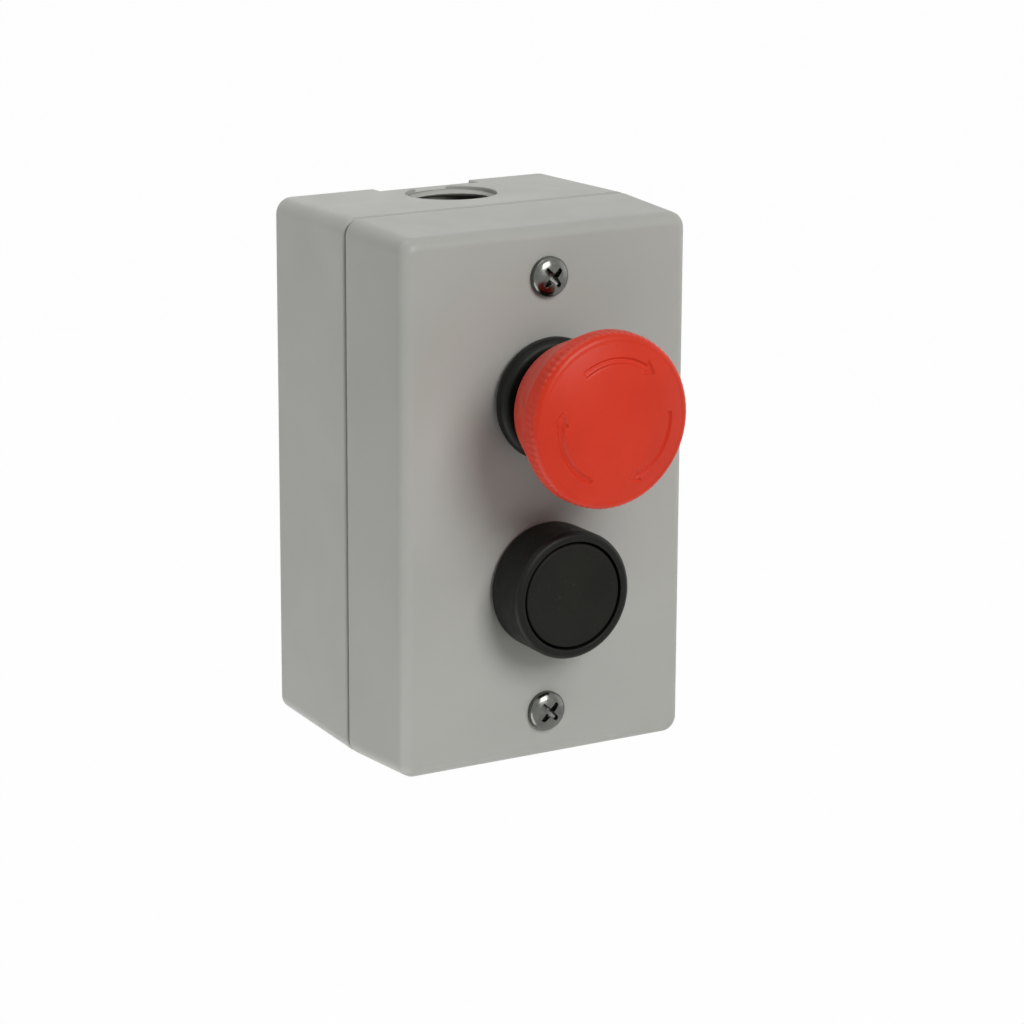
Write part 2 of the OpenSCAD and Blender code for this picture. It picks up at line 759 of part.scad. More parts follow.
// The terminal screws of both blocks, their heads towards the back
module terminal_screws() {
    color(zinc) for (z = buttons, s = [-1, 1]) on_cover(z)
        translate([0, s * terminal_y, strip_front(z == stop_z) - strip_t]) rotate([180, 0, 0])
            pan_screw(terminal_head_d, terminal_head_h, terminal_screw_d, strip_t + terminal_shank);
}

rear_box();
front_cover();
cover_gasket();
cover_screws();
earth_screw();
earth_washer();
locknuts();
holder_screws();
terminal_screws();
stop_head();
stop_head_ring();
stop_twist_spring();
stop_collar();
panel_gasket(stop_z, collar_gasket_d);  // stop_panel_gasket
stop_stem();
stem_clip(stop_z);  // stop_stem_clip
button_spring(stop_z);  // stop_spring
contact_holder(stop_z);  // stop_contact_holder
contact_housing(stop_z, true);  // stop_contact_housing
contact_lid(stop_z);  // stop_contact_lid
contact_plunger(stop_z);  // stop_contact_plunger
contact_bridge(stop_z, true);  // stop_contact_bridge
contact_spring(stop_z);  // stop_contact_spring
terminals(stop_z, true);  // stop_terminals
start_cap();
start_guard();
panel_gasket(start_z, guard_gasket_d);  // start_panel_gasket
start_stem();
stem_clip(start_z);  // start_stem_clip
button_spring(start_z);  // start_spring
contact_holder(start_z);  // start_contact_holder
contact_housing(start_z, false);  // start_contact_housing
contact_lid(start_z);  // start_contact_lid
contact_plunger(start_z);  // start_contact_plunger
contact_bridge(start_z, false);  // start_contact_bridge
contact_spring(start_z);  // start_contact_spring
terminals(start_z, false);  // start_terminals
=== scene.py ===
"""Two-button control station: surfaces, finishes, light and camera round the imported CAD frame."""
import logging
from collections.abc import Callable
from dataclasses import dataclass, field
from enum import Enum
from math import cos, pi, radians, sin, sqrt

import bmesh
import bpy
import numpy as np
from mathutils import Matrix, Vector


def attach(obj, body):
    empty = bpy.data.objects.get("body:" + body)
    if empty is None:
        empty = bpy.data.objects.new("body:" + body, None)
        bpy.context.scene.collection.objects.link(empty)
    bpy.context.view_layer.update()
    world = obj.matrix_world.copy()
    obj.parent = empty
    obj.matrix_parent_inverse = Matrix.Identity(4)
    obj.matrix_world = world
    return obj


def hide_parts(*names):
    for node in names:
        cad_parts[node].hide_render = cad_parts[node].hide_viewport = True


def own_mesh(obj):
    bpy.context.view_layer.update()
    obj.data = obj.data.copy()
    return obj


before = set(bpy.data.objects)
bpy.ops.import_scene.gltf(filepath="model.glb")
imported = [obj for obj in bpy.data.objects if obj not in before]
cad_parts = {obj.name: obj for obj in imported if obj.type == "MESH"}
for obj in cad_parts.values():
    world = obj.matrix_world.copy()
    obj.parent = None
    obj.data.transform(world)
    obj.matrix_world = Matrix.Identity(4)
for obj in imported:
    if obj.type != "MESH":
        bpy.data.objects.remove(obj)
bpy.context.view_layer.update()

log = logging.getLogger("station")

# A profile's corner: radius from the axis, height above the cover's face and rounding, in mm
Corner = tuple[float, float, float]
Array = np.ndarray
# Moves the radii, heights and turns of a swept surface to new radii and heights
Warp = Callable[[Array, Array, Array], tuple[Array, Array]]
Socket = bpy.types.NodeSocket
Tree = bpy.types.NodeTree

MM = 0.001
WHITE = (1.0, 1.0, 1.0, 1.0)
DUST = (214, 213, 206)


def span(node: str, axis: int) -> tuple[float, float]:
    """Gives both ends of a CAD node's box along axis 0, 1 or 2, in mm."""
    ends = [corner[axis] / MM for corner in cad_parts[node].bound_box]
    return min(ends), max(ends)


def middle(node: str, axis: int) -> float:
    """Gives the middle of a CAD node's box along axis 0, 1 or 2, in mm to a hundredth."""
    return round(sum(span(node, axis)) / 2, 2)


# Depth from the wall to the cover's face
FACE = round(-span("front_cover", 1)[0], 2)
# Place along y of the joint between the castings
JOINT = middle("cover_gasket", 1)
# Heights of the buttons' axes, and of the upper cover screw's; the lower screw mirrors it
STOP_Z = middle("stop_collar", 2)
START_Z = middle("start_guard", 2)
SCREW_Z = 51.1


class Slot(Enum):
    """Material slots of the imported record."""

    PAINT = "paint"
    RED_PLASTIC = "red_plastic"
    BLACK_PLASTIC = "black_plastic"
    BLACK_CAP = "black_cap"
    BLACK_NYLON = "black_nylon"
    BLACK_RUBBER = "black_rubber"
    PALE_PLASTIC = "pale_plastic"
    RED_NYLON = "red_nylon"
    GREEN_NYLON = "green_nylon"
    ZINC = "zinc"
    SPRING_STEEL = "spring_steel"
    BRASS_PARTS = "brass_parts"


class Body(Enum):
    """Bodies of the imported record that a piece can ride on."""

    STATION = "station"
    STOP_SLIDER = "stop_slider"
    STOP_KNOB = "stop_knob"
    STOP_CONTACT = "stop_contact"
    START_SLIDER = "start_slider"
    START_CONTACT = "start_contact"


class Grain(Enum):
    """How the fine relief of a finish runs."""

    EVEN = (1.0, 1.0, 1.0)
    DRAWN = (5.0, 1.0, 5.0)


def linear(colour: tuple[float, float, float]) -> tuple[float, float, float, float]:
    """Turns a screen colour into the linear colour that a shader takes.

    Args:
        colour: Screen red, green and blue, 0 to 255.

    Returns:
        Linear red, green, blue and an alpha of one.
    """
    level = np.array(colour) / 255.0
    level = np.where(level <= 0.04045, level / 12.92, ((level + 0.055) / 1.055) ** 2.4)
    return (*level.tolist(), 1.0)


def empty_tree(owner: bpy.types.Material | bpy.types.World) -> Tree:
    """Gives a material or a world an empty node tree.

    Args:
        owner: The material or world.

    Returns:
        Its node tree.
    """
    owner.use_nodes = True
    owner.node_tree.nodes.clear()
    return owner.node_tree


def add_node(tree: Tree, kind: str, inputs: dict | None = None, **settings: str) -> bpy.types.Node:
    """Adds a shader node, sets it up and fills its inputs.

    Args:
        tree: Node tree to add it to.
        kind: Type of the node, without the words that all types start with.
        inputs: For an input's name or number, the socket to link to it or the value to give it.
        settings: Settings of the node itself.

    Returns:
        The node.
    """
    made = tree.nodes.new("ShaderNode" + kind)
    for name, value in settings.items():
        setattr(made, name, value)
    for name, value in (inputs or {}).items():
        if isinstance(value, Socket):
            tree.links.new(value, made.inputs[name])
        else:
            made.inputs[name].default_value = value
    return made


@dataclass(frozen=True)
class Finish:
    """One finish: two close colours in clouds, an uneven gloss and a fine relief."""

    slot: Slot
    colour: tuple[float, float, float]
    cloud_colour: tuple[float, float, float]
    cloud_scale: float = 70.0
    rough: float = 0.45
    rough_swing: float = 0.06
    grain: Grain = Grain.EVEN
    grain_scale: float = 1100.0
    grain_height: float = 0.012
    dust: float = 0.0
    dust_scale: float = 1400.0
    metallic: float = 0.0
    specular: float = 0.5
    coat: float = 0.0
    coat_rough: float = 0.15

    def material(self) -> bpy.types.Material:
        """Builds the node material of this finish.

        The roughness swings a little about its middle value, in patches. A fine relief bends the
        normal, stretched where the surface was drawn.

        Returns:
            The material, all of whose patterns read Object coordinates.
        """
        made = bpy.data.materials.new(self.slot.value)
        tree = empty_tree(made)
        place = add_node(tree, "TexCoord").outputs["Object"]
        patches = self._noise(tree, place, self.cloud_scale * 3.1, 4.0)
        ends = (self.rough - self.rough_swing, self.rough + self.rough_swing)
        drawn = add_node(tree, "Mapping", {"Vector": place, "Scale": self.grain.value}).outputs["Vector"]
        fine = self._noise(tree, drawn, self.grain_scale, 2.5)
        bump = {"Strength": 1.0, "Distance": self.grain_height * MM, "Height": fine}
        shader = add_node(tree, "BsdfPrincipled", {
            "Base Color": self._colour(tree, place), "Roughness": self._spread(tree, patches, 0.3, 0.7, ends),
            "Normal": add_node(tree, "Bump", bump).outputs["Normal"], "Metallic": self.metallic,
            "Specular IOR Level": self.specular, "Coat Weight": self.coat, "Coat Roughness": self.coat_rough})
        add_node(tree, "OutputMaterial", {"Surface": shader.outputs["BSDF"]})
        return made

    def _noise(self, tree: Tree, place: Socket, scale: float, detail: float) -> Socket:
        """Adds a noise with some waves per metre and some finer layers, and gives its value."""
        return add_node(tree, "TexNoise", {"Vector": place, "Scale": scale, "Detail": detail}).outputs["Fac"]

    def _spread(self, tree: Tree, value: Socket, low: float, high: float, ends: tuple) -> Socket:
        """Adds a map from the range of low to high onto the two ends, and gives its value."""
        inputs = {"Value": value, "From Min": low, "From Max": high, "To Min": ends[0], "To Max": ends[1]}
        return add_node(tree, "MapRange", inputs).outputs["Result"]

    def _mix(self, tree: Tree, factor: Socket, first: Socket | tuple, second: tuple) -> Socket:
        """Adds a mix that blends from the first colour to the second by the factor."""
        inputs = {"Factor": factor, "A": first, "B": second}
        return add_node(tree, "Mix", inputs, data_type="RGBA").outputs["Result"]

    def _colour(self, tree: Tree, place: Socket) -> Socket:
        """Lays clouds of the second colour, and pale dust specks where the finish has them.

        Args:
            tree: Node tree of the material.
            place: Coordinates that the patterns read.

        Returns:
            The colour's socket.
        """
        clouds = self._spread(tree, self._noise(tree, place, self.cloud_scale, 3.0), 0.35, 0.65, (0.0, 1.0))
        colour = self._mix(tree, clouds, linear(self.colour), linear(self.cloud_colour))
        if self.dust > 0.0:
            specks = self._noise(tree, place, self.dust_scale, 2.0)
            specks = self._spread(tree, specks, 0.68, 0.8, (0.0, self.dust))
            colour = self._mix(tree, specks, colour, linear(DUST))
        return colour


FINISHES = (
    Finish(Slot.PAINT, (167, 167, 162), (163, 164, 158), cloud_scale=26.0, rough=0.42, rough_swing=0.05,
           grain_scale=850.0, grain_height=0.010, coat=0.06, specular=0.28),
    Finish(Slot.RED_PLASTIC, (205, 52, 28), (197, 48, 25), cloud_scale=60.0, rough=0.35,
           grain_scale=900.0, grain_height=0.010, dust=0.03, specular=0.2),
    Finish(Slot.BLACK_PLASTIC, (21, 22, 18), (17, 18, 15), cloud_scale=90.0, rough=0.44, rough_swing=0.07,
           grain_scale=1300.0, dust=0.03, specular=0.15),
    Finish(Slot.BLACK_CAP, (25, 25, 21), (21, 21, 18), cloud_scale=90.0, rough=0.5,
           grain_scale=1500.0, grain_height=0.014, dust=0.03, specular=0.12),
    Finish(Slot.BLACK_NYLON, (40, 40, 39), (32, 32, 31), cloud_scale=110.0, rough=0.55, grain_height=0.014),
    Finish(Slot.BLACK_RUBBER, (62, 62, 59), (72, 72, 69), cloud_scale=160.0, rough=0.78,
           grain_scale=1800.0, grain_height=0.03, specular=0.3),
    Finish(Slot.PALE_PLASTIC, (222, 219, 205), (212, 208, 192), cloud_scale=80.0, rough=0.5),
    Finish(Slot.RED_NYLON, (190, 40, 30), (176, 34, 26), cloud_scale=120.0, rough=0.5),
    Finish(Slot.GREEN_NYLON, (38, 128, 62), (32, 114, 54), cloud_scale=120.0, rough=0.5),
    Finish(Slot.ZINC, (108, 108, 104), (94, 96, 93), cloud_scale=420.0, rough=0.2, rough_swing=0.08,
           grain_scale=1500.0, grain_height=0.006, metallic=1.0),
    Finish(Slot.SPRING_STEEL, (176, 176, 174), (156, 157, 158), cloud_scale=500.0, rough=0.3,
           rough_swing=0.08, grain=Grain.DRAWN, grain_height=0.01, metallic=1.0),
    Finish(Slot.BRASS_PARTS, (206, 168, 92), (188, 148, 76), cloud_scale=300.0, rough=0.28,
           rough_swing=0.08, grain=Grain.DRAWN, grain_height=0.008, metallic=1.0),
)


@dataclass
class Wardrobe:
    """Keeps one material for each slot and dresses pieces with them."""

    materials: dict[Slot, bpy.types.Material] = field(default_factory=dict)

    def stock(self, finishes: tuple[Finish, ...]) -> None:
        """Makes the material of every finish."""
        self.materials = {finish.slot: finish.material() for finish in finishes}

    def dress(self, piece: bpy.types.Object, slot: Slot) -> None:
        """Gives a bare piece the material of a slot."""
        piece.data.materials.append(self.materials[slot])


wardrobe = Wardrobe()


@dataclass
class Shell:
    """Points and faces of closed skins, gathered before they become one mesh."""

    points: list[Array] = field(default_factory=list)
    faces: list[list[int]] = field(default_factory=list)
    count: int = 0

    def add(self, grid: Array, ring: bool) -> None:
        """Closes a grid of points into a skin whose faces point outwards.

        Each cell between two neighbouring rows and two neighbouring columns is one face. The columns
        close on themselves, and the rows too if the skin is a ring. A row whose points all coincide
        is one point, with triangles round it. The sum over the faces of the volume between each face
        and the origin is negative if the faces point inwards, and then they are turned.

        Args:
            grid: Points in mm, as rows by columns by three.
            ring: True if the last row joins the first.
        """
        rows, columns = grid.shape[:2]
        index = np.arange(rows * columns).reshape(rows, columns)
        flat_rows = np.ptp(grid, axis=1).max(axis=1) < 1e-7
        index[flat_rows] = index[flat_rows, :1]
        below = np.roll(index, -1, axis=0)
        if not ring:
            index, below = index[:-1], below[:-1]
        quads = np.stack([index, np.roll(index, -1, axis=1), np.roll(below, -1, axis=1), below], axis=-1)
        quads = quads.reshape(-1, 4)
        points = grid.reshape(-1, 3)
        a, b, c, d = (points[quads[:, k]] for k in range(4))
        volume = np.einsum("ij,ij->i", a, np.cross(b, c) + np.cross(c, d)).sum()
        if volume < 0:
            quads = quads[:, ::-1]
        used, compact = np.unique(quads, return_inverse=True)
        quads = compact.reshape(-1, 4) + self.count
        pole = quads == np.roll(quads, -1, axis=1)
        at_pole = pole.any(axis=1)
        corners = quads[at_pole][~pole[at_pole]].reshape(-1, 3)
        self.points.append(points[used])
        self.faces += quads[~at_pole].tolist() + corners.tolist()
        self.count += len(used)

    def piece(self, name: str) -> bpy.types.Object:
        """Makes the gathered skins one object, its points in metres.

        Args:
            name: Name of the object.

        Returns:
            The object, at the origin and smooth except at sharp edges.
        """
        mesh = bpy.data.meshes.new(name)
        mesh.from_pydata(np.concatenate(self.points) * MM, [], self.faces)
        mesh.update()
        return finished(name, mesh)


def finished(name: str, mesh: bpy.types.Mesh, sharp: float = 38.0) -> bpy.types.Object:
    """Puts a mesh into the scene, smooth except where it turns sharply.

    Args:
        name: Name of the object.
        mesh: Its mesh, in metres in the shared frame.
        sharp: Smallest turn between two faces that stays sharp, in degrees.

    Returns:
        The linked object.
    """
    mesh.shade_smooth()
    mesh.set_sharp_from_angle(angle=radians(sharp))
    piece = bpy.data.objects.new(name, mesh)
    bpy.context.scene.collection.objects.link(piece)
    return piece


def place(piece: bpy.types.Object, body: Body, slot: Slot, *nodes: str) -> None:
    """Lets a piece ride on its body, names its slot and hides the CAD nodes that it stands for.

    Args:
        piece: Finished object.
        body: Body that carries it.
        slot: Material slot that it takes.
        nodes: CAD nodes that it replaces.
    """
    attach(piece, body.value)
    if nodes:
        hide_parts(*nodes)
    wardrobe.dress(piece, slot)
    log.info("%s: %d faces", piece.name, len(piece.data.polygons))


def skin(node: str, grids: list[Array], ring: bool, body: Body, slot: Slot) -> bpy.types.Object:
    """Closes grids into the piece that stands for a node.

    Args:
        node: CAD node that the piece replaces.
        grids: Grids of points in mm, as rows by columns by three.
        ring: True if the last row of each grid joins its first.
        body: Body that carries the piece.
        slot: Material slot that it takes.

    Returns:
        The object.
    """
    shell = Shell()
    for grid in grids:
        shell.add(grid, ring)
    piece = shell.piece(node + "_form")
    place(piece, body, slot, node)
    return piece


def rounded(corners: list[Corner], ring: bool, steps: int, support: float = 0.15) -> Array:
    """Rounds the corners of a profile.

    At each corner an arc of the given radius touches both sides, at the distance radius over the
    tangent of half the corner's angle. Its points turn evenly from one touching point to the other.
    A support point stands on each side just before the arc, so that flat faces keep a flat shine.

    Args:
        corners: Radius from the axis, height and rounding of each corner, in mm.
        ring: True if the profile closes on itself, otherwise its two ends stay as they are.
        steps: Number of points along each arc.
        support: Largest distance from an arc to its support point.

    Returns:
        The profile's points, as radius and height in mm.
    """
    data = np.array(corners, float)
    spot, bend = data[:, :2], data[:, 2:]
    back, ahead = np.roll(spot, 1, axis=0) - spot, np.roll(spot, -1, axis=0) - spot
    back_len = np.linalg.norm(back, axis=1, keepdims=True)
    ahead_len = np.linalg.norm(ahead, axis=1, keepdims=True)
    u, v = back / back_len, ahead / ahead_len
    angle = np.arccos(np.clip((u * v).sum(axis=1, keepdims=True), -1, 1))
    reach = bend / np.tan(angle / 2)
    halfway = (u + v) / np.maximum(np.linalg.norm(u + v, axis=1, keepdims=True), 1e-9)
    centre = spot + halfway * bend / np.sin(angle / 2)
    first, last = spot + u * reach - centre, spot + v * reach - centre
    sweep = (pi - angle)[:, None]
    w = np.linspace(0, 1, steps)[None, :, None]
    safe = np.maximum(np.sin(sweep), 1e-9)
    turned = np.sin((1 - w) * sweep) * first[:, None] + np.sin(w * sweep) * last[:, None]
    arc = np.where(bend[:, None] > 0, centre[:, None] + turned / safe, spot[:, None])
    spare_back = back_len - reach - np.roll(reach, 1, axis=0)
    spare_ahead = ahead_len - reach - np.roll(reach, -1, axis=0)
    before = spot + u * (reach + np.clip(spare_back / 3, 0, support))
    after = spot + v * (reach + np.clip(spare_ahead / 3, 0, support))
    path = np.concatenate([before[:, None], arc, after[:, None]], axis=1)
    if not ring:
        path[0, :-1] = spot[0]
        path[-1, 1:] = spot[-1]
    path = path.reshape(-1, 2)
    fresh = np.r_[True, np.linalg.norm(np.diff(path, axis=0), axis=1) > 1e-6]
    path = path[fresh]
    if ring and np.linalg.norm(path[0] - path[-1]) < 1e-6:
        path = path[:-1]
    return path


def denser(path: Array, low: float, high: float, step: float, column: int = 1) -> Array:
    """Adds points to those straight runs of a profile whose middle lies in a range.

    Args:
        path: Profile as radius and height in mm.
        low: Start of the range.
        high: End of the range.
        step: Largest distance between two points there.
        column: 0 to read the range as radius, 1 to read it as height.

    Returns:
        The profile with even steps between the old points of those runs.
    """
    pieces = [path[:1]]
    for start, end in zip(path[:-1], path[1:]):
        halfway = (start[column] + end[column]) / 2
        length = float(np.linalg.norm(end - start))
        count = max(1, int(np.ceil(length / step))) if low <= halfway <= high else 1
        pieces.append(start + (end - start) * np.linspace(0, 1, count + 1)[1:, None])
    return np.concatenate(pieces)


def smooth_step(value: Array, low: float, high: float) -> Array:
    """Rises from 0 at low to 1 at high, level at both ends: three times the square less twice the cube."""
    t = np.clip((value - low) / (high - low), 0, 1)
    return t * t * (3 - 2 * t)


def triangle_wave(turns: Array) -> Array:
    """Goes from 0 at whole numbers up to 1 at the halves and back, in straight lines."""
    return 1 - np.abs(2 * (turns - np.floor(turns)) - 1)


def swept(path: Array, steps: int, axis_z: float, warp: Warp | None = None) -> Array:
    """Carries a profile round a button's axis.

    A point of the profile at radius r and height h, turned by t clockwise from the top, comes to
    x = r sin t and z = r cos t beside the axis, and y = minus the cover's depth less h. The warp may
    move r and h as functions of r, h and t before that.

    Args:
        path: Profile as radius and height above the cover's face, in mm.
        steps: Number of columns round the axis.
        axis_z: Height of the axis in the shared frame, in mm.
        warp: Function of the arrays r, h and t that gives new r and h, or None.

    Returns:
        Points in mm, as rows by columns by three.
    """
    turn = np.arange(steps) * (2 * pi / steps)
    r, t = np.meshgrid(path[:, 0], turn, indexing="ij")
    h = np.broadcast_to(path[:, 1:2], r.shape)
    if warp is not None:
        r, h = warp(r, h, t)
    return np.stack([r * np.sin(t), -FACE - h, axis_z + r * np.cos(t)], axis=-1)


@dataclass
class SolidCopy:
    """A CAD solid taken over as it is, merged, with its sharp edges softened.

    The outside, if given, is half the width, the front, the back and half the height of the box that
    all edges to be softened lie outside of.
    """

    node: str
    body: Body
    slot: Slot
    edge: float = 0.12
    segments: int = 2
    outside: tuple[float, float, float, float] | None = None
    least_turn: float = 40.0
    joint_reach: float = 0.5
    room: float = 0.7
    merge: float = 0.02
    flat_turn: float = 0.2

    def share(self, edge: bmesh.types.BMEdge) -> int:
        """Tells how wide an edge is rounded, in usual widths.

        Only outward edges between two faces that turn by more than the least turn are. If the box of
        the outside is given, the edge also lies beyond it, and along the joint of the castings it is
        twice as wide.

        Args:
            edge: Edge of the merged copy.

        Returns:
            0 if the edge stays sharp, otherwise 1 or 2.
        """
        if not edge.is_manifold or not edge.is_convex:
            return 0
        if edge.calc_face_angle() < radians(self.least_turn):
            return 0
        if self.outside is None:
            return 1
        spot = (edge.verts[0].co + edge.verts[1].co) / 2 / MM
        x, front, back, z = self.outside
        if abs(spot.x) < x and front < spot.y < back and abs(spot.z) < z:
            return 0
        return 2 if abs(spot.y - JOINT) < self.joint_reach else 1

    def soften(self, work: bmesh.types.BMesh) -> None:
        """Rounds the chosen edges that have room for it, the wide ones first.

        Args:
            work: Merged copy.
        """
        for wide in (2, 1):
            width = wide * self.edge * MM
            work.normal_update()
            tight = {v for e in work.edges if e.calc_length() < self.room * width for v in e.verts}
            edges = [e for e in work.edges if self.share(e) == wide and tight.isdisjoint(e.verts)]
            bmesh.ops.bevel(work, geom=edges, offset=width, offset_type="OFFSET", segments=self.segments,
                            profile=0.5, affect="EDGES", clamp_overlap=False, loop_slide=True)

    def build(self) -> None:
        """Copies the solid's triangles, joins them into flat faces and softens the edges."""
        work = bmesh.new()
        work.from_mesh(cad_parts[self.node].data)
        bmesh.ops.remove_doubles(work, verts=work.verts, dist=self.merge * MM)
        flat = radians(self.flat_turn)
        bmesh.ops.dissolve_limit(work, angle_limit=flat, verts=work.verts, edges=work.edges)
        if self.edge > 0:
            self.soften(work)
        mesh = bpy.data.meshes.new(self.node + "_form")
        work.to_mesh(mesh)
        work.free()
        piece = finished(self.node + "_form", mesh)
        weigh = piece.modifiers.new("flat faces", "WEIGHTED_NORMAL")
        weigh.keep_sharp = True
        place(piece, self.body, self.slot, self.node)


@dataclass
class Thread:
    """A screw thread cut into a round outside."""

    radius: float
    depth: float
    pitch: float
    low: float
    high: float

    def cut(self, r: Array, h: Array, t: Array) -> Array:
        """Lowers the outside by a triangle wave that climbs one pitch for each turn.

        Args:
            r: Radii in mm.
            h: Heights in mm.
            t: Turns in radians.

        Returns:
            The new radii in mm.
        """
        outside = np.abs(r - self.radius) < 0.01
        window = smooth_step(h, self.low, self.low + self.pitch)
        window = window * smooth_step(-h, -self.high, self.pitch - self.high)
        return r - outside * window * self.depth * (1 - triangle_wave(h / self.pitch - t / (2 * pi)))


@dataclass
class CoverScrews:
    """The two pan-head screws that hold the cover, each with a cross recess."""

    head_r: float = 4.65
    head_h: float = 2.7
    edge_h: float = 0.9
    crown_power: float = 2.3
    shank_r: float = 2.5
    shank_len: float = 33.8
    thread_len: float = 11.0
    tip_h: float = 0.9
    tip_in: float = 0.7
    arm_w: float = 1.25
    arm_len: float = 2.75
    arm_depth: float = 1.9
    angles: tuple[float, float] = (49.0, 45.0)
    columns: int = 144

    def profile(self) -> Array:
        """Profile from the crown over the rim and down the shank.

        The crown is a quarter of a flattened oval: height is the cylindrical edge plus the rest of
        the height times the root of one less the crown's power of the radius over the head's.

        Returns:
            Radius and height in mm.
        """
        r = np.r_[np.linspace(0, 3.2, 38), self.head_r * np.sin(np.linspace(0.76, pi / 2, 16))]
        r = np.unique(np.round(r, 6))
        bulge = np.sqrt(np.clip(1 - (r / self.head_r) ** self.crown_power, 0, 1))
        crown = np.stack([r, self.edge_h + (self.head_h - self.edge_h) * bulge], axis=-1)
        low = -self.shank_len
        rest = rounded([(self.head_r, self.edge_h, 0), (self.head_r, 0.0, 0.12), (self.shank_r, 0.0, 0.25),
                        (self.shank_r, low + self.thread_len, 0.0), (self.shank_r, low + self.tip_h, 0.0),
                        (self.shank_r - self.tip_in, low, 0.1), (0.0, low, 0)], False, 4)
        return np.concatenate([crown, denser(rest[1:], low + self.tip_h, low + self.thread_len, 0.13)])

    def recess(self, r: Array, t: Array, angle: float) -> Array:
        """Depth of the cross recess.

        Across an arm the depth has steep walls at half the arm's width, which narrows outwards, and
        along it the floor rises from the middle to the arm's end. Between the arms the corners are
        cut back to a small square.

        Args:
            r: Radii in mm.
            t: Turns in radians.
            angle: Turn of the cross in degrees.

        Returns:
            Depth in mm.
        """
        a = t - radians(angle)
        x, y = np.abs(r * np.sin(a)), np.abs(r * np.cos(a))
        along, across = np.maximum(x, y), np.minimum(x, y)
        half = self.arm_w / 2 * (1 - 0.35 * along / self.arm_len)
        walls = 1 - smooth_step(across, half - 0.10, half + 0.12)
        ends = 1 - smooth_step(along, self.arm_len - 0.35, self.arm_len + 0.05)
        floor = self.arm_depth * (1 - 0.5 * (along / self.arm_len) ** 1.5)
        return walls * ends * floor

    def build(self) -> None:
        """Builds both screws as one piece."""
        path = self.profile()
        low = -self.shank_len
        thread = Thread(self.shank_r, depth=0.42, pitch=0.8, low=low + 0.6, high=low + 10.5)
        grids = []
        for axis_z, angle in zip((SCREW_Z, -SCREW_Z), self.angles):
            def warp(r: Array, h: Array, t: Array, angle: float = angle) -> tuple:
                """Cuts the recess into the head and the thread into the shank."""
                h = np.where(h > 0.5, h - self.recess(r, t, angle), h)
                return thread.cut(r, h, t), h

            grids.append(swept(path, self.columns, axis_z, warp))
        skin("cover_screws", grids, False, Body.STATION, Slot.ZINC)


